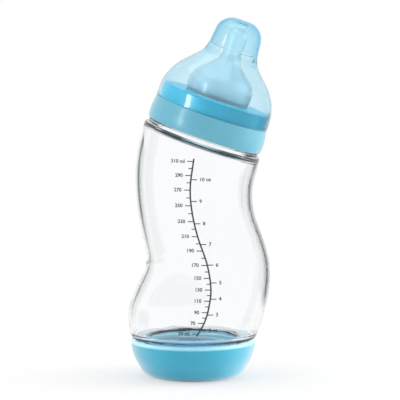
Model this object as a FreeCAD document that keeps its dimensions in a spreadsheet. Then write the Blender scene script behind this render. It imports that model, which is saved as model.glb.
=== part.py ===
import FreeCAD, Part
import math
import os

import Sketcher
from FreeCAD import Vector

# S-curved feeding bottle, in millimetres. +Z is up, +X is the way the neck leans.
# The origin is the middle of the foot, on the table.

# Where each section of the curved container stands: its place along X and Z, its lean towards +X
# in degrees, and its outside radius.
STATIONS = {
    "seat": (0.45, 24.0, 0.0, 33.95),
    "heel": (0.6, 30.6, 6.0, 35.1),
    "belly": (3.2, 38.8, 12.0, 34.6),
    "flank": (6.9, 49.1, 13.0, 33.5),
    "bulge": (7.8, 61.0, 0.0, 32.7),
    "dip": (4.7, 73.8, -15.0, 30.5),
    "waist": (1.8, 86.8, -10.0, 30.3),
    "chest": (0.6, 99.0, 0.0, 30.9),
    "collar": (1.4, 111.2, 9.0, 31.7),
    "nape": (2.85, 118.0, 14.2, 32.0),
    "neck": (5.2, 127.0, 18.9, 32.05),
}
STATION_SIZES = ("along", "height", "lean", "radius")

DIMENSIONS = {
    # container
    "wall": 1.9,
    "seat_low": 20.4,
    "seat_corner": 32.7,
    "seat_round": 2.2,
    "shoulder_drop": 3.5,
    "shoulder_round": 1.5,
    "inside_round": 1.4,
    # upper neck, measured along its own axis from the shoulder
    "bead_radius": 30.4,
    "bead_top": 1.7,
    "finish_radius": 27.1,
    "finish_bore": 24.9,
    "finish_top": 18.5,
    # lower neck
    "lower_radius": 25.2,
    "lower_bore": 23.3,
    "lower_end": 7.2,
    "lower_edge": 0.8,
    # screw ring, along the neck axis
    "ring_low": 2.3,
    "ring_low_radius": 31.1,
    "ring_swell": 6.4,
    "ring_swell_radius": 31.75,
    "ring_step": 14.8,
    "ring_step_radius": 30.65,
    "ring_bore": 29.0,
    "ring_bore_end": 12.4,
    "ring_upstand": 28.9,
    "ring_upstand_bore": 27.4,
    "ring_top": 22.6,
    "ring_plate": 1.8,
    "ring_hole": 16.5,
    # teat, along the neck axis
    "teat_flange": 27.1,
    "teat_low": 18.6,
    "teat_flange_top": 20.7,
    "teat_groove": 16.2,
    "teat_groove_top": 22.8,
    "teat_dome": 17.3,
    "teat_dome_corner": 33.3,
    "teat_dome_round": 10.5,
    "teat_stem": 5.3,
    "teat_stem_corner": 43.3,
    "teat_stem_round": 9.0,
    "teat_bulb": 5.7,
    "teat_top": 61.6,
    "teat_tip_round": 4.8,
    "teat_wall": 1.7,
    "teat_hole": 0.6,
    # cap, along the neck axis
    "cap_low": 14.95,
    "cap_radius": 30.8,
    "cap_shoulder": 29.1,
    "cap_shoulder_round": 26.0,
    "cap_stem": 13.75,
    "cap_stem_corner": 46.15,
    "cap_stem_round": 14.0,
    "cap_crown": 11.7,
    "cap_top": 66.2,
    "cap_crown_round": 9.6,
    "cap_wall": 1.5,
    "cap_ledge": 49.5,
    "cap_thick": 2.7,
    # base
    "foot_radius": 25.2,
    "foot_round": 8.0,
    "foot_inside": 16.5,
    "foot_recess": 2.8,
    "floor_top": 5.2,
    "base_swell": 32.1,
    "base_swell_height": 12.0,
    "base_swell_round": 25.0,
    "base_radius": 33.2,
    "base_top": 20.1,
    "base_lip": 1.3,
    "base_wall": 1.9,
    "base_slot": 11.2,
    "sleeve_radius": 28.4,
    "sleeve_bore": 26.9,
    "sleeve_top": 18.9,
    "vent_circle": 10.0,
    "vent_diameter": 2.6,
    # valve
    "valve_radius": 26.5,
    "valve_low": 5.3,
    "valve_rim": 1.8,
    "valve_rim_inside": 22.4,
    "valve_crown": 8.0,
    "valve_crown_height": 9.6,
    "valve_skin": 0.9,
    "slit_length": 6.0,
    "slit_width": 0.3,
}
VENTS = 6

doc = FreeCAD.newDocument("FeedingBottle")
sheet = doc.addObject("Spreadsheet::Sheet", "Sizes")


def fill_sheet():
    cells = dict(DIMENSIONS)
    for name, sizes in STATIONS.items():
        for what, size in zip(STATION_SIZES, sizes):
            cells[f"{name}_{what}"] = size
    for row, (alias, size) in enumerate(cells.items(), start=1):
        sheet.set(f"A{row}", alias)
        sheet.set(f"B{row}", str(size))
        sheet.setAlias(f"B{row}", alias)
    doc.recompute()


def is_number(word):
    return word.replace(".", "", 1).isdigit()


def number(text):
    """The size that a sum such as 'wall + 0.5' stands for."""
    total = 0.0
    sign = 1.0
    for word in text.split():
        if word in "+-":
            sign = 1.0 if word == "+" else -1.0
        else:
            total += sign * (float(word) if is_number(word) else sheet.get(word))
            sign = 1.0
    return total


def formula(text):
    """The same sum, as an expression on the sheet."""
    return " ".join(word if word in "+-" or is_number(word) else f"Sizes.{word}" for word in text.split())


def new_body(name):
    body = doc.addObject("PartDesign::Body", name)
    body.Label = name
    return body


def origin_plane(body, role):
    return next(feature for feature in body.Origin.OriginFeatures if feature.Role == role)


def sketch_on(body, name, role, place=None):
    sketch = body.newObject("Sketcher::SketchObject", name)
    sketch.AttachmentSupport = [(origin_plane(body, role), "")]
    sketch.MapMode = "FlatFace"
    if place:
        sketch.setExpression("AttachmentOffset", place)
    return sketch


def bound(sketch, name, text, *kind):
    """A dimension of the sketch that follows the sheet."""
    index = sketch.addConstraint(Sketcher.Constraint(*kind, number(text)))
    sketch.renameConstraint(index, name)
    sketch.setExpression(f"Constraints.{name}", formula(text))


def pin_corner(sketch, name, element, end, across, up):
    for label, text, kind, axis in (("across", across, "DistanceX", -2), ("up", up, "DistanceY", -1)):
        if text == "0":
            sketch.addConstraint(Sketcher.Constraint("PointOnObject", element, end, axis))
        else:
            bound(sketch, f"{name}_{label}", text, kind, -1, 1, element, end)


def rounded(before, corner, after, radius):
    """Where a rounding of a corner leaves each side, its middle, and whether it turns left."""
    back = (before - corner).normalize()
    ahead = (after - corner).normalize()
    half = back.getAngle(ahead) / 2
    reach = radius / math.tan(half)
    middle = corner + (back + ahead).normalize() * (radius / math.sin(half))
    return corner + back * reach, corner + ahead * reach, middle, back.cross(ahead).z < 0


def outline(sketch, corners):
    """A closed section. Each corner is its two places and, where it is rounded, the radius."""
    points = [Vector(number(corner[0]), number(corner[1]), 0) for corner in corners]
    count = len(points)
    leaves = []
    for i, corner in enumerate(corners):
        if len(corner) == 3:
            before, after = points[i - 1], points[(i + 1) % count]
            leaves.append(rounded(before, points[i], after, number(corner[2])))
        else:
            leaves.append((points[i], points[i], None, None))
    sides = [
        sketch.addGeometry(Part.LineSegment(leaves[i][1], leaves[(i + 1) % count][0])) for i in range(count)
    ]
    for i, corner in enumerate(corners):
        arrive, leave, middle, left = leaves[i]
        last, following = sides[i - 1], sides[i]
        if middle is None:
            sketch.addConstraint(Sketcher.Constraint("Coincident", last, 2, following, 1))
            pin_corner(sketch, f"corner_{i}", following, 1, *corner)
            continue
        first, second = (arrive, leave) if left else (leave, arrive)
        angles = [math.atan2(end.y - middle.y, end.x - middle.x) for end in (first, second)]
        circle = Part.Circle(middle, Vector(0, 0, 1), number(corner[2]))
        arc = sketch.addGeometry(Part.ArcOfCircle(circle, *angles))
        tip = sketch.addGeometry(Part.Point(points[i]), True)
        start, end = (1, 2) if left else (2, 1)
        sketch.addConstraint(Sketcher.Constraint("Tangent", last, 2, arc, start))
        sketch.addConstraint(Sketcher.Constraint("Tangent", arc, end, following, 1))
        sketch.addConstraint(Sketcher.Constraint("PointOnObject", tip, 1, last))
        sketch.addConstraint(Sketcher.Constraint("PointOnObject", tip, 1, following))
        bound(sketch, f"round_{i}", corner[2], "Radius", arc)
        pin_corner(sketch, f"corner_{i}", tip, 1, corner[0], corner[1])


def turned(body, name, kind, corners, place=None):
    """A section turned about its own upright axis, added or cut away."""
    sketch = sketch_on(body, f"{name}_section", "XZ_Plane", place)
    outline(sketch, corners)
    feature = body.newObject(f"PartDesign::{kind}", name)
    feature.Profile = sketch
    feature.ReferenceAxis = (sketch, ["V_Axis"])
    feature.Angle = 360
    doc.recompute()
    return feature


def station_place(name, shift="0"):
    """The plane of a section, moved by a distance along its own axis."""
    spot = f"vector(Sizes.{name}_along; 0; Sizes.{name}_height)"
    lean = f"rotation(vector(0; 1; 0); Sizes.{name}_lean)"
    return f"placement({spot}; {lean}) * placement(vector(0; 0; {formula(shift)}); rotation(vector(0; 0; 1); 0))"


def ring_sketch(body, name, place, radius):
    sketch = sketch_on(body, name, "XY_Plane", place)
    sketch.addGeometry(Part.Circle(Vector(0, 0, 0), Vector(0, 0, 1), number(radius)))
    sketch.addConstraint(Sketcher.Constraint("Coincident", 0, 3, -1, 1))
    bound(sketch, "radius", radius, "Radius", 0)
    return sketch


def loft(body, name, kind, sections):
    feature = body.newObject(f"PartDesign::{kind}", name)
    feature.Profile = sections[0]
    feature.Sections = sections[1:]
    doc.recompute()
    return feature


NECK_PLACE = station_place("neck")
SEAT_IN_PLANE = "placement(vector(Sizes.seat_along; 0; 0); rotation(vector(0; 0; 1); 0))"
NECK_IN_PLANE = (
    "placement(vector(Sizes.neck_along; Sizes.neck_height; 0); rotation(vector(0; 0; -1); Sizes.neck_lean))"
)


def make_bottle():
    body = new_body("bottle")
    ends = {"neck": "0 - shoulder_drop"}
    outside = []
    inside = []
    for name in STATIONS:
        place = station_place(name, ends.get(name, "0"))
        outside.append(ring_sketch(body, f"{name}_outside", place, f"{name}_radius"))
    loft(body, "skin", "AdditiveLoft", outside)
    turned(
        body,
        "heel_corner",
        "Revolution",
        (
            ("0", "seat_low"),
            ("seat_corner", "seat_low", "seat_round"),
            ("seat_radius", "seat_height"),
            ("0", "seat_height"),
        ),
        SEAT_IN_PLANE,
    )
    turned(
        body,
        "finish",
        "Revolution",
        (
            ("0", "0 - shoulder_drop"),
            ("neck_radius", "0 - shoulder_drop"),
            ("neck_radius", "0", "shoulder_round"),
            ("bead_radius", "0"),
            ("bead_radius", "bead_top", "0.5"),
            ("finish_radius", "bead_top"),
            ("finish_radius", "finish_top", "0.7"),
            ("0", "finish_top"),
        ),
        NECK_IN_PLANE,
    )
    turned(
        body,
        "lower_neck",
        "Revolution",
        (
            ("0", "lower_end"),
            ("lower_radius", "lower_end", "0.6"),
            ("lower_radius", "seat_low + wall"),
            ("0", "seat_low + wall"),
        ),
    )
    for name in STATIONS:
        place = station_place(name, ends.get(name, "0"))
        inside.append(ring_sketch(body, f"{name}_inside", place, f"{name}_radius - wall"))
    loft(body, "hollow", "SubtractiveLoft", inside)
    turned(
        body,
        "well",
        "Groove",
        (
            ("0", "seat_low + wall"),
            ("seat_corner - wall", "seat_low + wall", "inside_round"),
            ("seat_radius - wall", "seat_height"),
            ("0", "seat_height"),
        ),
        SEAT_IN_PLANE,
    )
    turned(
        body,
        "mouth",
        "Groove",
        (
            ("0", "0 - shoulder_drop"),
            ("neck_radius - wall", "0 - shoulder_drop"),
            ("neck_radius - wall", "0 - wall", "inside_round"),
            ("finish_bore", "0 - wall", "lower_edge"),
            ("finish_bore", "finish_top + 1"),
            ("0", "finish_top + 1"),
        ),
        NECK_IN_PLANE,
    )
    turned(
        body,
        "lower_mouth",
        "Groove",
        (
            ("0", "lower_end - 1"),
            ("lower_bore", "lower_end - 1"),
            ("lower_bore", "seat_low + wall", "lower_edge"),
            ("lower_bore + 2", "seat_low + wall"),
            ("lower_bore + 2", "seat_height"),
            ("0", "seat_height"),
        ),
    )
    return body


def make_screw_ring():
    body = new_body("screw_ring")
    turned(
        body,
        "hoop",
        "Revolution",
        (
            ("ring_bore", "ring_low"),
            ("ring_low_radius", "ring_low", "0.7"),
            ("ring_swell_radius", "ring_swell", "22"),
            ("ring_step_radius", "ring_step", "0.5"),
            ("ring_upstand", "ring_step"),
            ("ring_upstand", "ring_top", "1.1"),
            ("ring_hole", "ring_top", "0.6"),
            ("ring_hole", "ring_top - ring_plate"),
            ("ring_upstand_bore", "ring_top - ring_plate", "0.4"),
            ("ring_upstand_bore", "ring_bore_end + 1.2"),
            ("ring_bore", "ring_bore_end"),
        ),
    )
    return body


def make_teat():
    body = new_body("teat")
    turned(
        body,
        "silicone",
        "Revolution",
        (
            ("teat_groove - teat_wall", "teat_low", "0.5"),
            ("teat_flange", "teat_low"),
            ("teat_flange", "teat_flange_top", "0.4"),
            ("teat_groove", "teat_flange_top"),
            ("teat_groove", "teat_groove_top"),
            ("teat_dome", "teat_groove_top", "0.8"),
            ("teat_dome", "teat_dome_corner", "teat_dome_round"),
            ("teat_stem", "teat_stem_corner", "teat_stem_round"),
            ("teat_bulb", "teat_top", "teat_tip_round"),
            ("teat_hole", "teat_top"),
            ("teat_hole", "teat_top - teat_wall"),
            ("teat_bulb - teat_wall", "teat_top - teat_wall", "teat_tip_round - teat_wall"),
            ("teat_stem - teat_wall", "teat_stem_corner - 0.8", "teat_stem_round + teat_wall"),
            ("teat_dome - teat_wall", "teat_dome_corner - 0.8", "teat_dome_round - teat_wall"),
            ("teat_dome - teat_wall", "teat_groove_top + teat_wall", "0.6"),
            ("teat_groove - teat_wall", "teat_groove_top"),
        ),
    )
    return body


def make_cap():
    body = new_body("cap")
    turned(
        body,
        "hood",
        "Revolution",
        (
            ("cap_radius - cap_wall", "cap_low", "0.3"),
            ("cap_radius", "cap_low", "0.5"),
            ("cap_radius", "cap_shoulder", "cap_shoulder_round"),
            ("cap_stem", "cap_stem_corner", "cap_stem_round"),
            ("cap_crown", "cap_top", "cap_crown_round"),
            ("0", "cap_top"),
            ("0", "cap_top - cap_thick"),
            ("cap_crown - cap_thick", "cap_top - cap_thick", "cap_crown_round - cap_thick"),
            ("cap_stem - cap_thick - 0.3", "cap_ledge", "0.4"),
            ("cap_stem - cap_wall - 0.3", "cap_ledge"),
            ("cap_stem - cap_wall - 0.05", "cap_stem_corner - 0.6", "3"),
            ("cap_radius - cap_wall", "cap_shoulder - 0.6", "cap_shoulder_round - cap_wall"),
        ),
    )
    return body


def make_base_cap():
    body = new_body("base_cap")
    turned(
        body,
        "bowl",
        "Revolution",
        (
            ("foot_inside", "0", "0.4"),
            ("foot_radius", "0", "foot_round"),
            ("base_swell", "base_swell_height", "base_swell_round"),
            ("base_radius", "base_top", "base_lip"),
            ("base_radius - base_lip - 0.8", "base_top", "0.4"),
            ("base_swell - base_wall", "base_swell_height + 0.6"),
            ("base_swell - base_wall - 0.6", "base_slot"),
            ("sleeve_radius", "base_slot"),
            ("sleeve_radius", "sleeve_top", "0.4"),
            ("sleeve_bore", "sleeve_top", "0.4"),
            ("sleeve_bore", "floor_top", "0.4"),
            ("0", "floor_top"),
            ("0", "foot_recess"),
            ("foot_inside - 1.2", "foot_recess", "0.6"),
        ),
    )
    vent = sketch_on(body, "vent_place", "XY_Plane")
    vent.addGeometry(Part.Circle(Vector(number("vent_circle"), 0, 0), Vector(0, 0, 1), 1))
    vent.addConstraint(Sketcher.Constraint("PointOnObject", 0, 3, -1))
    bound(vent, "reach", "vent_circle", "DistanceX", -1, 1, 0, 3)
    bound(vent, "width", "vent_diameter", "Diameter", 0)
    hole = body.newObject("PartDesign::Pocket", "vent")
    hole.Profile = vent
    hole.Type = "ThroughAll"
    hole.Midplane = True
    doc.recompute()
    row = body.newObject("PartDesign::PolarPattern", "vents")
    row.Originals = [hole]
    row.Axis = (vent, ["N_Axis"])
    row.Angle = 360
    row.Occurrences = VENTS
    body.Tip = row
    doc.recompute()
    return body


def make_vent_valve():
    body = new_body("vent_valve")
    turned(
        body,
        "membrane",
        "Revolution",
        (
            ("0", "valve_crown_height - valve_skin"),
            ("valve_crown", "valve_crown_height - valve_skin", "6"),
            ("valve_rim_inside", "valve_low"),
            ("valve_radius", "valve_low"),
            ("valve_radius", "valve_low + valve_rim", "0.4"),
            ("valve_rim_inside", "valve_low + valve_rim", "0.4"),
            ("valve_rim_inside - 1.6", "valve_low + valve_skin + 0.5"),
            ("valve_crown", "valve_crown_height", "6"),
            ("0", "valve_crown_height"),
        ),
    )
    for name, long, wide in (
        ("slit_across", "slit_length", "slit_width"),
        ("slit_along", "slit_width", "slit_length"),
    ):
        sketch = sketch_on(body, f"{name}_shape", "XY_Plane")
        half = Vector(number(long) / 2, number(wide) / 2, 0)
        spots = [Vector(x * half.x, y * half.y, 0) for x, y in ((-1, -1), (1, -1), (1, 1), (-1, 1))]
        for i in range(4):
            sketch.addGeometry(Part.LineSegment(spots[i], spots[(i + 1) % 4]))
        for i in range(4):
            sketch.addConstraint(Sketcher.Constraint("Coincident", i, 2, (i + 1) % 4, 1))
            sketch.addConstraint(Sketcher.Constraint("Vertical" if i % 2 else "Horizontal", i))
        sketch.addConstraint(Sketcher.Constraint("Symmetric", 0, 1, 2, 1, -1, 1))
        bound(sketch, "long", long, "DistanceX", 0, 1, 0, 2)
        bound(sketch, "wide", wide, "DistanceY", 1, 1, 1, 2)
        cut = body.newObject("PartDesign::Pocket", name)
        cut.Profile = sketch
        cut.Type = "ThroughAll"
        cut.Midplane = True
        doc.recompute()
    return body


def check(bodies):
    for item in doc.Objects:
        if "Invalid" in item.State or "Error" in item.State:
            raise RuntimeError(f"{item.Label} could not be made: {item.State}")
    for body in bodies:
        if body.Shape.isNull() or not body.Shape.isValid() or len(body.Shape.Solids) != 1:
            raise RuntimeError(f"{body.Label} is not one sound solid")


fill_sheet()
bodies = [make_bottle(), make_screw_ring(), make_teat(), make_cap(), make_base_cap(), make_vent_valve()]
for leaning in bodies[1:4]:
    leaning.setExpression("Placement", NECK_PLACE)
doc.recompute()
check(bodies)
os.makedirs("parts", exist_ok=True)
for body in bodies:
    body.Shape.exportStep(f"parts/{body.Label}.step")
    print(body.Label, round(body.Shape.Volume), body.Shape.BoundBox)
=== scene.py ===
import math

import bmesh
import bpy
from mathutils import Matrix, Vector
from mathutils.bvhtree import BVHTree


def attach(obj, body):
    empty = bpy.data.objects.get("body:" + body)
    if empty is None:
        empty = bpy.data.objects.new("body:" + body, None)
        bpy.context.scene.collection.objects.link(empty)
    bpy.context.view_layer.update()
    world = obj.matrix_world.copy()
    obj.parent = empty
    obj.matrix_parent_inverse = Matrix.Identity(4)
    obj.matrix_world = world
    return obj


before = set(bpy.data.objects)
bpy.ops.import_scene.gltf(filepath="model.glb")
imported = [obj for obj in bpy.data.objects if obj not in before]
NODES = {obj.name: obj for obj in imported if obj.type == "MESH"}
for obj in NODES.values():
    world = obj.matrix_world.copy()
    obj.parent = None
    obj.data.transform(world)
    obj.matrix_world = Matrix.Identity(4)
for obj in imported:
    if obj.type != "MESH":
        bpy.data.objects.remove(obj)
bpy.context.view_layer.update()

MM = 0.001

# Where the leaning neck starts, and how far it leans towards +X.
NECK_SPOT = Vector((5.2, 0, 127.0)) * MM
NECK_LEAN = math.radians(18.9)
NECK = Matrix.Translation(NECK_SPOT) @ Matrix.Rotation(NECK_LEAN, 4, "Y")
NECK_AXIS = NECK.to_3x3() @ Vector((0, 0, 1))
UPRIGHT = Matrix.Identity(4)

# The camera stands in front of the bottle, far off, a little above it.
CAMERA_SPOT = Vector((3.7, -2000, 328)) * MM
CAMERA_DIP = math.radians(6.668)
HALF_PICTURE = 200
LENS_IN_PIXELS = 3800
CAMERA_ANGLE = 2 * math.atan(HALF_PICTURE / LENS_IN_PIXELS)

# Where painted light goes on the base: a painted highlight up its lip, and painted light above its floor on
# the inner side of its wall.
LIP_RISE = (17.8 * MM, 18.8 * MM)
FLOOR_RISE = (7.0 * MM, 8.0 * MM)
WALL_EDGE = (28.6 * MM, 29.6 * MM)

# Heights up the neck where the ring steps in under the cap, which is where its painted shade starts, and
# where the teat clears.
RING_STEP = (14.6 * MM, 15.0 * MM)
TEAT_CLEARS = (34.0 * MM, 50.0 * MM)

# How fine the cloudiness of the blue plastics is, and how strongly the ring's skin takes side light.
BLUE_GRAIN = 60
RING_SHEEN = 0.5


# Materials

def new_material(name):
    material = bpy.data.materials.new(name)
    material.use_nodes = True
    nodes = material.node_tree.nodes
    return material, nodes, material.node_tree.links, nodes["Principled BSDF"]


def grain(nodes, links, size):
    """A fine, even noise in the object's own space."""
    place = nodes.new("ShaderNodeTexCoord")
    noise = nodes.new("ShaderNodeTexNoise")
    noise.inputs["Scale"].default_value = size
    noise.inputs["Detail"].default_value = 3.0
    links.new(place.outputs["Object"], noise.inputs["Vector"])
    return noise.outputs["Fac"]


def ramp(nodes, links, fac, low, high):
    """The middle of a value's range, turned into greys or colours between two."""
    stops = nodes.new("ShaderNodeValToRGB")
    stops.color_ramp.elements[0].position = 0.35
    stops.color_ramp.elements[1].position = 0.65
    stops.color_ramp.elements[0].color = low
    stops.color_ramp.elements[1].color = high
    links.new(fac, stops.inputs["Fac"])
    return stops.outputs["Color"]


def spread(nodes, links, value, between, low, high):
    """A value between two others, laid out smoothly from low to high."""
    change = nodes.new("ShaderNodeMapRange")
    change.interpolation_type = "SMOOTHSTEP"
    change.inputs["From Min"].default_value, change.inputs["From Max"].default_value = between
    change.inputs["To Min"].default_value = low
    change.inputs["To Max"].default_value = high
    links.new(value, change.inputs["Value"])
    return change.outputs["Result"]


def combine(nodes, links, operation, first, second):
    """Two values put together, and kept between 0 and 1."""
    sums = nodes.new("ShaderNodeMath")
    sums.operation = operation
    sums.use_clamp = True
    links.new(first, sums.inputs[0])
    links.new(second, sums.inputs[1])
    return sums.outputs[0]


def mix_colours(nodes, links, share, first, second):
    """The first colour, with a share of the second."""
    mix = nodes.new("ShaderNodeMix")
    mix.data_type = "RGBA"
    links.new(share, mix.inputs[0])
    links.new(first, mix.inputs[6])
    links.new(second, mix.inputs[7])
    return mix.outputs[2]


def up_the_neck(nodes, links, between, low, high):
    """Low below one height on the leaning neck's axis, and high above another."""
    foot = NECK_SPOT.dot(NECK_AXIS)
    place = nodes.new("ShaderNodeTexCoord")
    along = nodes.new("ShaderNodeVectorMath")
    along.operation = "DOT_PRODUCT"
    along.inputs[1].default_value = NECK_AXIS
    links.new(place.outputs["Object"], along.inputs[0])
    return spread(nodes, links, along.outputs["Value"], [foot + height for height in between], low, high)


def grey(value):
    return (value, value, value, 1)


def roughen(nodes, links, shader, gloss, size, height):
    """Uneven gloss and a faint moulded skin."""
    smooth, dull = gloss
    uneven = ramp(nodes, links, grain(nodes, links, size), grey(smooth), grey(dull))
    links.new(uneven, shader.inputs["Roughness"])
    bump = nodes.new("ShaderNodeBump")
    bump.inputs["Strength"].default_value = 0.15
    bump.inputs["Distance"].default_value = height
    links.new(grain(nodes, links, size * 6), bump.inputs["Height"])
    links.new(bump.outputs["Normal"], shader.inputs["Normal"])


def solid_plastic(name, low, high, sheen, sheen_width):
    """Coloured, satin plastic."""
    material, nodes, links, shader = new_material(name)
    links.new(ramp(nodes, links, grain(nodes, links, BLUE_GRAIN), low, high), shader.inputs["Base Color"])
    roughen(nodes, links, shader, gloss=(0.34, 0.40), size=220, height=0.02 * MM)
    shader.inputs["Coat Weight"].default_value = 0.2
    shader.inputs["Coat Roughness"].default_value = 0.12
    shader.inputs["Sheen Weight"].default_value = sheen
    shader.inputs["Sheen Roughness"].default_value = sheen_width
    return material


def pale_where_thin(material):
    """Painted light: a painted highlight along the base's lip, and a paler blue of painted light on its inner
    wall above the floor.
    """
    nodes, links = material.node_tree.nodes, material.node_tree.links
    shader = nodes["Principled BSDF"]
    blue = shader.inputs["Base Color"].links[0].from_socket
    place = nodes.new("ShaderNodeTexCoord")
    parts = nodes.new("ShaderNodeSeparateXYZ")
    links.new(place.outputs["Object"], parts.inputs[0])
    flat = nodes.new("ShaderNodeVectorMath")
    flat.operation = "MULTIPLY"
    flat.inputs[1].default_value = (1, 1, 0)
    links.new(place.outputs["Object"], flat.inputs[0])
    out = nodes.new("ShaderNodeVectorMath")
    out.operation = "LENGTH"
    links.new(flat.outputs["Vector"], out.inputs[0])
    lip = spread(nodes, links, parts.outputs["Z"], LIP_RISE, 0.0, 0.9)
    high = spread(nodes, links, parts.outputs["Z"], FLOOR_RISE, 0.0, 1.0)
    within = spread(nodes, links, out.outputs["Value"], WALL_EDGE, 1.0, 0.0)
    inner = combine(nodes, links, "MULTIPLY", high, within)
    share = combine(nodes, links, "MAXIMUM", lip, inner)
    # This paler blue is painted light, not the plastic's own colour.
    pale = ramp(nodes, links, grain(nodes, links, BLUE_GRAIN), (0.34, 0.75, 0.92, 1), (0.38, 0.78, 0.95, 1))
    links.new(mix_colours(nodes, links, share, blue, pale), shader.inputs["Base Color"])


def deeper_under_cap(material):
    """Painted shade: the ring's upstand, which the cap covers, is painted a deeper blue, and has no sheen."""
    nodes, links = material.node_tree.nodes, material.node_tree.links
    shader = nodes["Principled BSDF"]
    blue = shader.inputs["Base Color"].links[0].from_socket
    share = up_the_neck(nodes, links, RING_STEP, 0.0, 1.0)
    # The deeper blue is painted shade.
    painted_shade_blue = ramp(nodes, links, grain(nodes, links, BLUE_GRAIN), (0.018, 0.45, 0.64, 1), (0.026, 0.47, 0.66, 1))
    links.new(mix_colours(nodes, links, share, blue, painted_shade_blue), shader.inputs["Base Color"])
    links.new(up_the_neck(nodes, links, RING_STEP, RING_SHEEN, 0.0), shader.inputs["Sheen Weight"])


def see_through(name, colour, ior, gloss, tint, density, clear=1.0, coat=0.0):
    """Clear or tinted plastic and silicone, which lets the lamps reach what is behind it."""
    material, nodes, links, shader = new_material(name)
    shader.inputs["Base Color"].default_value = colour
    shader.inputs["Transmission Weight"].default_value = clear
    shader.inputs["IOR"].default_value = ior
    shader.inputs["Coat Weight"].default_value = coat
    shader.inputs["Coat Roughness"].default_value = 0.05
    roughen(nodes, links, shader, gloss, size=40, height=0.004 * MM)
    path = nodes.new("ShaderNodeLightPath")
    lamps = nodes.new("ShaderNodeBsdfTransparent")
    lamps.inputs["Color"].default_value = colour
    either = nodes.new("ShaderNodeMixShader")
    links.new(path.outputs["Is Shadow Ray"], either.inputs["Fac"])
    links.new(shader.outputs["BSDF"], either.inputs[1])
    links.new(lamps.outputs["BSDF"], either.inputs[2])
    links.new(either.outputs["Shader"], nodes["Material Output"].inputs["Surface"])
    inside = nodes.new("ShaderNodeVolumeAbsorption")
    inside.inputs["Color"].default_value = tint
    inside.inputs["Density"].default_value = density
    links.new(inside.outputs["Volume"], nodes["Material Output"].inputs["Volume"])
    return material


def clearer_at_tip(material):
    """The teat's dome is milky, and its thin tip is clearer."""
    nodes, links = material.node_tree.nodes, material.node_tree.links
    up = up_the_neck(nodes, links, TEAT_CLEARS, 0.35, 0.65)
    milky_to_clear = ramp(nodes, links, up, (0.76, 0.87, 0.91, 1), (0.92, 0.96, 0.97, 1))
    links.new(milky_to_clear, nodes["Principled BSDF"].inputs["Base Color"])


def ink_material():
    material, nodes, links, shader = new_material("scale_ink")
    dark, pale = (0.030, 0.042, 0.050, 1), (0.050, 0.064, 0.074, 1)
    links.new(ramp(nodes, links, grain(nodes, links, 900), dark, pale), shader.inputs["Base Color"])
    shader.inputs["Roughness"].default_value = 0.45
    return material


CLEAR = see_through(
    "clear_plastic",
    colour=(0.98, 0.985, 0.99, 1),
    ior=1.46,
    gloss=(0.0, 0.02),
    tint=(0.8, 0.9, 0.95, 1),
    density=8,
)
CAP_BLUE = see_through(
    "tinted_plastic",
    colour=(0.98, 0.995, 1.0, 1),
    ior=1.15,
    gloss=(0.08, 0.14),
    tint=(0.08, 0.69, 0.88, 1),
    density=120,
    coat=0.4,
)
SILICONE = see_through(
    "clear_silicone",
    colour=(0.68, 0.83, 0.88, 1),
    ior=1.35,
    gloss=(0.32, 0.42),
    tint=(0.6, 0.85, 0.92, 1),
    density=25,
    clear=0.93,
    coat=0.3,
)
clearer_at_tip(SILICONE)
VALVE_SILICONE = see_through(
    "milky_silicone",
    colour=(0.22, 0.74, 0.97, 1),
    ior=1.3,
    gloss=(0.3, 0.4),
    tint=(0.8, 0.9, 0.95, 1),
    density=20,
    clear=0.5,
)
RING_BLUE = solid_plastic(
    "ring_blue",
    low=(0.125, 0.460, 0.610, 1),
    high=(0.143, 0.480, 0.630, 1),
    sheen=RING_SHEEN,
    sheen_width=0.35,
)
# Painted shade: a deeper blue on the ring where the cap covers it.
deeper_under_cap(RING_BLUE)
BASE_BLUE = solid_plastic(
    "base_blue",
    low=(0.012, 0.380, 0.560, 1),
    high=(0.020, 0.400, 0.580, 1),
    sheen=1.0,
    sheen_width=0.45,
)
# Painted highlight on the base's lip and painted light on its inner wall.
pale_where_thin(BASE_BLUE)
INK = ink_material()


def paint(node, material):
    data = NODES[node].data
    data.materials.clear()
    data.materials.append(material)


paint("bottle", CLEAR)
paint("screw_ring", RING_BLUE)
paint("teat", SILICONE)
paint("cap", CAP_BLUE)
paint("base_cap", BASE_BLUE)
paint("vent_valve", VALVE_SILICONE)


# Pieces

def make_object(name, shape, material):
    mesh = bpy.data.meshes.new(name)
    shape.to_mesh(mesh)
    shape.free()
    mesh.materials.append(material)
    made = bpy.data.objects.new(name, mesh)
    bpy.context.scene.collection.objects.link(made)
    return made


def add_piece(name, shape, material, body):
    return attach(make_object(name, shape, material), body)


# Screw threads

RIDGE_HALF = 0.9 * MM
STEPS_A_TURN = 72


def screw_thread(name, material, body, place, root, crest, low, pitch, turns):
    """A rounded ridge that climbs round an axis, from its foot radius to its crest. Sizes are in mm."""
    shape = bmesh.new()
    root, crest, low, pitch = root * MM, crest * MM, low * MM, pitch * MM
    flank = root + (crest - root) * 0.75
    spots = [
        (root, -RIDGE_HALF),
        (flank, -RIDGE_HALF * 0.55),
        (crest, -RIDGE_HALF * 0.2),
        (crest, RIDGE_HALF * 0.2),
        (flank, RIDGE_HALF * 0.55),
        (root, RIDGE_HALF),
    ]
    corners = [shape.verts.new((across, 0, low + up)) for across, up in spots]
    profile = shape.faces.new(corners)
    steps = int(STEPS_A_TURN * turns)
    bmesh.ops.spin(
        shape,
        geom=[profile, *profile.edges, *profile.verts],
        cent=(0, 0, 0),
        axis=(0, 0, 1),
        dvec=(0, 0, pitch * turns / steps),
        angle=math.tau * turns,
        steps=steps,
    )
    bmesh.ops.remove_doubles(shape, verts=shape.verts, dist=1e-7)
    bmesh.ops.recalc_face_normals(shape, faces=shape.faces)
    bmesh.ops.transform(shape, matrix=place, verts=shape.verts)
    for face in shape.faces:
        face.smooth = True
    return add_piece(name, shape, material, body)


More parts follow.
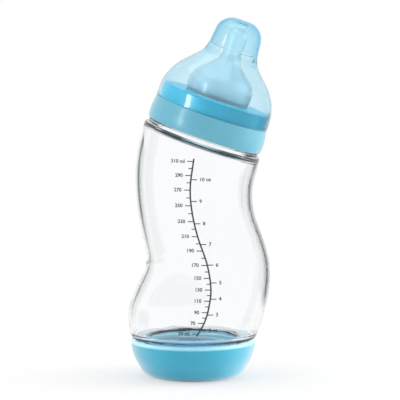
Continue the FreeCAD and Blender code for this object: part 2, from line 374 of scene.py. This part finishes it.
UPPER_PITCH = 6
LOWER_PITCH = 5
screw_thread("neck_thread", CLEAR, "bottle", NECK, 27.05, 28.2, 4.0, UPPER_PITCH, 1.3)
screw_thread("ring_thread", RING_BLUE, "screw_ring", NECK, 29.05, 27.9, 3.6, UPPER_PITCH, 1.0)
screw_thread("lower_thread", CLEAR, "bottle", UPRIGHT, 25.15, 26.1, 9.5, LOWER_PITCH, 1.6)
screw_thread("base_thread", BASE_BLUE, "base_cap", UPRIGHT, 26.95, 26.0, 10.5, LOWER_PITCH, 1.3)


# The printed measuring scale, drawn in mm

LINE_KNOTS = (
    (26.4, 2.0), (33.3, 5.8), (40.0, 8.0), (50.7, 9.4), (63.6, 7.5),
    (78.0, 2.6), (91.0, -0.4), (104.0, -1.4), (119.6, 0.5),
)
ML_HEIGHTS = {
    310: 118.1, 290: 110.7, 270: 103.0, 250: 94.7, 230: 86.3, 210: 78.4, 190: 70.9,
    170: 63.5, 150: 56.8, 130: 50.7, 110: 44.9, 90: 38.9, 70: 33.3, 50: 27.7,
}
OZ_HEIGHTS = {10: 108.5, 9: 97.0, 8: 85.2, 7: 74.3, 6: 63.7, 5: 54.4, 4: 45.9, 3: 37.6, 2: 29.4}
LINE_WIDTH = 0.85
LINE_PIECES = 160
TICK_WIDTH = 0.5
LONG_TICK = 3.2
SHORT_TICK = 2.1
LONG_PIECES = 6
SHORT_PIECES = 4
DIGIT_HEIGHT = 1.85
DIGIT_SHARE_OF_SIZE = 0.7
DIGIT_BOLD = 0.08
DIGIT_GAP = 1.3
INK_LIFT = 0.08

BOTTLE_SKIN = BVHTree.FromObject(NODES["bottle"], bpy.context.evaluated_depsgraph_get())


def line_at(height):
    """How far along X the scale's S-line runs at a height, smooth through its knots."""
    knots = LINE_KNOTS
    last = len(knots) - 2
    i = next((k for k in range(last + 1) if height <= knots[k + 1][0]), last)
    (z0, x0), (z1, x1) = knots[i], knots[i + 1]
    before = knots[i - 1] if i else knots[i]
    after = knots[i + 2] if i < last else knots[i + 1]
    slope0 = (x1 - before[1]) / (z1 - before[0])
    slope1 = (after[1] - x0) / (after[0] - z0)
    t = (height - z0) / (z1 - z0)
    span = z1 - z0
    return (
        x0 * (1 + 2 * t) * (1 - t) ** 2
        + x1 * t * t * (3 - 2 * t)
        + span * (slope0 * t * (1 - t) ** 2 - slope1 * t * t * (1 - t))
    )


def print_on_bottle(name, shape):
    """Press flat ink, drawn in mm in the upright plane, on the front of the bottle."""
    bmesh.ops.scale(shape, vec=(MM, MM, MM), verts=shape.verts)
    for vert in shape.verts:
        start = Vector((vert.co.x, -0.2, vert.co.z))
        spot, normal, _, _ = BOTTLE_SKIN.ray_cast(start, Vector((0, 1, 0)))
        vert.co = spot + normal * (INK_LIFT * MM)
    bmesh.ops.recalc_face_normals(shape, faces=shape.faces)
    return add_piece(name, shape, INK, "bottle")


def strip(shape, along, up, length, width, pieces):
    """A flat bar in the upright plane, from its left end."""
    made = bmesh.ops.create_grid(shape, x_segments=pieces, y_segments=1, size=0.5)
    size = Matrix.Diagonal((length, width, 1, 1))
    stand = Matrix.Rotation(math.radians(90), 4, "X")
    middle = Matrix.Translation((along + length / 2, 0, up))
    bmesh.ops.transform(shape, matrix=middle @ stand @ size, verts=made["verts"])
    return made["verts"]


def draw_line():
    shape = bmesh.new()
    low, high = LINE_KNOTS[0][0], LINE_KNOTS[-1][0]
    for vert in strip(shape, low, 0, high - low, LINE_WIDTH, LINE_PIECES):
        height, side = vert.co.x, vert.co.z
        lean = (line_at(height + 0.1) - line_at(height - 0.1)) / 0.2
        stretch = math.sqrt(1 + lean * lean)
        vert.co = Vector((line_at(height) + side * stretch, 0, height))
    return print_on_bottle("scale_line", shape)


def draw_ticks():
    shape = bmesh.new()
    for height in ML_HEIGHTS.values():
        strip(shape, line_at(height) - LONG_TICK, height, LONG_TICK, TICK_WIDTH, LONG_PIECES)
    heights = list(ML_HEIGHTS.values())
    for above, below in zip(heights, heights[1:]):
        height = (above + below) / 2
        strip(shape, line_at(height) - SHORT_TICK, height, SHORT_TICK, TICK_WIDTH, SHORT_PIECES)
    for height in OZ_HEIGHTS.values():
        strip(shape, line_at(height), height, LONG_TICK, TICK_WIDTH, LONG_PIECES)
    return print_on_bottle("scale_ticks", shape)


def digits(shape, words, along, up, align):
    """Plain digits, drawn flat and standing upright."""
    curve = bpy.data.curves.new("digits", "FONT")
    curve.body = words
    curve.size = DIGIT_HEIGHT / DIGIT_SHARE_OF_SIZE
    curve.align_x = align
    curve.align_y = "CENTER"
    curve.resolution_u = 4
    curve.offset = DIGIT_BOLD
    writer = bpy.data.objects.new("digits", curve)
    mesh = bpy.data.meshes.new_from_object(writer)
    known = set(shape.verts)
    shape.from_mesh(mesh)
    fresh = [vert for vert in shape.verts if vert not in known]
    stand = Matrix.Translation((along, 0, up)) @ Matrix.Rotation(math.radians(90), 4, "X")
    bmesh.ops.transform(shape, matrix=stand, verts=fresh)
    bpy.data.objects.remove(writer)
    bpy.data.meshes.remove(mesh)
    bpy.data.curves.remove(curve)


def with_unit(amount, heights, unit):
    """The number, with its unit at the two ends of the scale."""
    return f"{amount} {unit}" if amount in (max(heights), min(heights)) else str(amount)


def draw_digits():
    shape = bmesh.new()
    reach = LONG_TICK + DIGIT_GAP
    for amount, height in ML_HEIGHTS.items():
        digits(shape, with_unit(amount, ML_HEIGHTS, "ml"), line_at(height) - reach, height, "RIGHT")
    for amount, height in OZ_HEIGHTS.items():
        digits(shape, with_unit(amount, OZ_HEIGHTS, "oz"), line_at(height) + reach, height, "LEFT")
    return print_on_bottle("scale_digits", shape)


draw_line()
draw_ticks()
draw_digits()


# Studio

FRONT_DIM = 0.5
ROOM_LIGHT = 0.65
FLOOR_DROP = 0.0002
FLOOR_HALF = 8
SHADOW_REACH = (0.02, 0.16)
CARD_DARK = (0.0, 0.035, 0.042, 1)


def light(name, spot, aim, size, power):
    lamp = bpy.data.lights.new(name, "AREA")
    lamp.shape = "RECTANGLE"
    lamp.size, lamp.size_y = size
    lamp.energy = power
    holder = bpy.data.objects.new(name, lamp)
    holder.location = spot
    holder.rotation_euler = (Vector(aim) - Vector(spot)).to_track_quat("-Z", "Y").to_euler()
    bpy.context.scene.collection.objects.link(holder)
    return holder


def card_material(name, darkest, reach, faint):
    """White at the card's near end and dark from a share of its length on, but pale near the floor."""
    material, nodes, links, _ = new_material(name)
    place = nodes.new("ShaderNodeUVMap")
    parts = nodes.new("ShaderNodeSeparateXYZ")
    links.new(place.outputs["UV"], parts.inputs[0])
    across = spread(nodes, links, parts.outputs["X"], (0.0, reach), 1.0, darkest)
    lift = spread(nodes, links, parts.outputs["Y"], (0.0, faint), 0.9, 0.0)
    tint = nodes.new("ShaderNodeValToRGB")
    tint.color_ramp.elements[0].color = CARD_DARK
    links.new(combine(nodes, links, "ADD", across, lift), tint.inputs["Fac"])
    glow = nodes.new("ShaderNodeEmission")
    links.new(tint.outputs["Color"], glow.inputs["Color"])
    links.new(glow.outputs["Emission"], nodes["Material Output"].inputs["Surface"])
    return material


def card(name, start, end, top, darkest, reach, faint):
    """An upright card beside and behind the bottle, from its near end on the floor to its far end.

    Only what clear plastic bends into view shows it, so it draws the edges of the bottle.
    """
    shape = bmesh.new()
    bmesh.ops.create_grid(shape, x_segments=1, y_segments=1, size=0.5)
    layer = shape.loops.layers.uv.new("across")
    for face in shape.faces:
        for loop in face.loops:
            loop[layer].uv = (loop.vert.co.x + 0.5, loop.vert.co.y + 0.5)
    start, end, up = Vector(start), Vector(end), Vector((0, 0, 1))
    middle = Matrix.Translation((start + end) / 2 + up * top / 2)
    along = (end - start).normalized()
    turn = Matrix((along, up, along.cross(up))).transposed().to_4x4()
    size = Matrix.Diagonal(((end - start).length, top, 1, 1))
    bmesh.ops.transform(shape, matrix=middle @ turn @ size, verts=shape.verts)
    holder = make_object(name, shape, card_material(name, darkest, reach, faint))
    holder.visible_camera = False
    holder.visible_diffuse = False
    holder.visible_glossy = False
    holder.visible_shadow = False
    return holder


def seen_rays(nodes, links):
    """1 for what the camera sees, straight on, mirrored or through something clear, else 0.

    What a dull surface has scattered doesn't count as seen.
    """
    path = nodes.new("ShaderNodeLightPath")
    total = path.outputs["Is Camera Ray"]
    for kind in ("Is Glossy Ray", "Is Transmission Ray"):
        total = combine(nodes, links, "ADD", total, path.outputs[kind])
    return combine(nodes, links, "SUBTRACT", total, path.outputs["Diffuse Depth"])


def floor_material():
    """White far from the bottle, and a dull white that takes its shadow near it."""
    material, nodes, links, shader = new_material("floor_white")
    shader.inputs["Base Color"].default_value = grey(0.85)
    shader.inputs["Roughness"].default_value = 0.9
    shader.inputs["Specular IOR Level"].default_value = 0.0
    white = nodes.new("ShaderNodeEmission")
    place = nodes.new("ShaderNodeTexCoord")
    away = nodes.new("ShaderNodeVectorMath")
    away.operation = "LENGTH"
    links.new(place.outputs["Object"], away.inputs[0])
    fade = spread(nodes, links, away.outputs["Value"], SHADOW_REACH, 0.55, 1.0)
    both = nodes.new("ShaderNodeMixShader")
    links.new(combine(nodes, links, "MULTIPLY", fade, seen_rays(nodes, links)), both.inputs["Fac"])
    links.new(shader.outputs["BSDF"], both.inputs[1])
    links.new(white.outputs["Emission"], both.inputs[2])
    links.new(both.outputs["Shader"], nodes["Material Output"].inputs["Surface"])
    return material


def floor():
    """A flat floor that keeps the shadow round the foot, and stays under the base as it unscrews."""
    shape = bmesh.new()
    bmesh.ops.create_grid(shape, x_segments=1, y_segments=1, size=FLOOR_HALF)
    ground = make_object("floor", shape, floor_material())
    ground.location.z = -FLOOR_DROP
    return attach(ground, "base_cap")


def white_room():
    """White to look at all round; the light it gives is softer, and dimmer from the front."""
    world = bpy.data.worlds.new("room")
    bpy.context.scene.world = world
    world.use_nodes = True
    nodes, links = world.node_tree.nodes, world.node_tree.links
    back = nodes["Background"]
    place = nodes.new("ShaderNodeTexCoord")
    parts = nodes.new("ShaderNodeSeparateXYZ")
    links.new(place.outputs["Generated"], parts.inputs[0])
    given = spread(nodes, links, parts.outputs["Y"], (-0.9, 0.0), ROOM_LIGHT * FRONT_DIM, ROOM_LIGHT)
    back.inputs["Color"].default_value = grey(1)
    links.new(combine(nodes, links, "MAXIMUM", given, seen_rays(nodes, links)), back.inputs["Strength"])


def camera():
    eye = bpy.data.cameras.new("camera")
    eye.angle = CAMERA_ANGLE
    eye.clip_end = 50
    holder = bpy.data.objects.new("camera", eye)
    holder.location = CAMERA_SPOT
    holder.rotation_euler = (math.pi / 2 - CAMERA_DIP, 0, 0)
    bpy.context.scene.collection.objects.link(holder)
    bpy.context.scene.camera = holder


def shine_on(lamp, *names):
    """A lamp that lights these objects alone."""
    lit = bpy.data.collections.new(lamp.name + "_lights")
    for name in names:
        lit.objects.link(bpy.data.objects[name])
    lamp.light_linking.receiver_collection = lit


def keep_off(lamp, *dark):
    """A lamp that lights everything but these objects."""
    meshes = [thing.name for thing in bpy.context.scene.objects if thing.type == "MESH"]
    shine_on(lamp, *[name for name in meshes if name not in dark])


white_room()
camera()
floor()
card("left_card", (-0.056, 0.125, 0), (-0.15, 0.075, 0), top=0.13, darkest=0.03, reach=0.42, faint=0.55)
card("right_card", (0.051, 0.13, 0), (0.2, 0.05, 0), top=0.125, darkest=0.0, reach=0.36, faint=0.15)

BODY_AIM = (0.004, 0, 0.095)
FOOT_AIM = (0.0, 0.0, 0.02)
FOOT_SIDE_AIM = (0.03, 0.0, 0.012)

# No lamp lights the clear bottle, so it shows the white room, and the two at the sides keep off the cap too.
keep_off(light("left_softbox", (-0.72, -0.54, 0.35), BODY_AIM, (0.15, 0.4), 2.4), "bottle")
keep_off(light("left_fill", (-0.85, 0.2, 0.3), BODY_AIM, (0.5, 0.9), 2.6), "bottle", "cap", "screw_ring")
keep_off(light("right_softbox", (0.85, 0.1, 0.3), BODY_AIM, (0.6, 0.9), 7.0), "bottle", "cap")
keep_off(light("top_softbox", (0.0, 0.1, 1.1), BODY_AIM, (1.0, 1.0), 4.5), "bottle")

# Two lamps for the foot alone, which the clear wall above it would leave dark.
foot_glow = light("foot_glow", (0.0, 0.1, 0.9), FOOT_AIM, (0.6, 0.6), 6.5)
shine_on(foot_glow, "base_cap", "base_thread", "vent_valve")
shine_on(light("foot_side", (0.6, -0.05, 0.09), FOOT_SIDE_AIM, (0.6, 0.15), 1.7), "base_cap")
bpy.context.scene.view_settings.view_transform = "Standard"
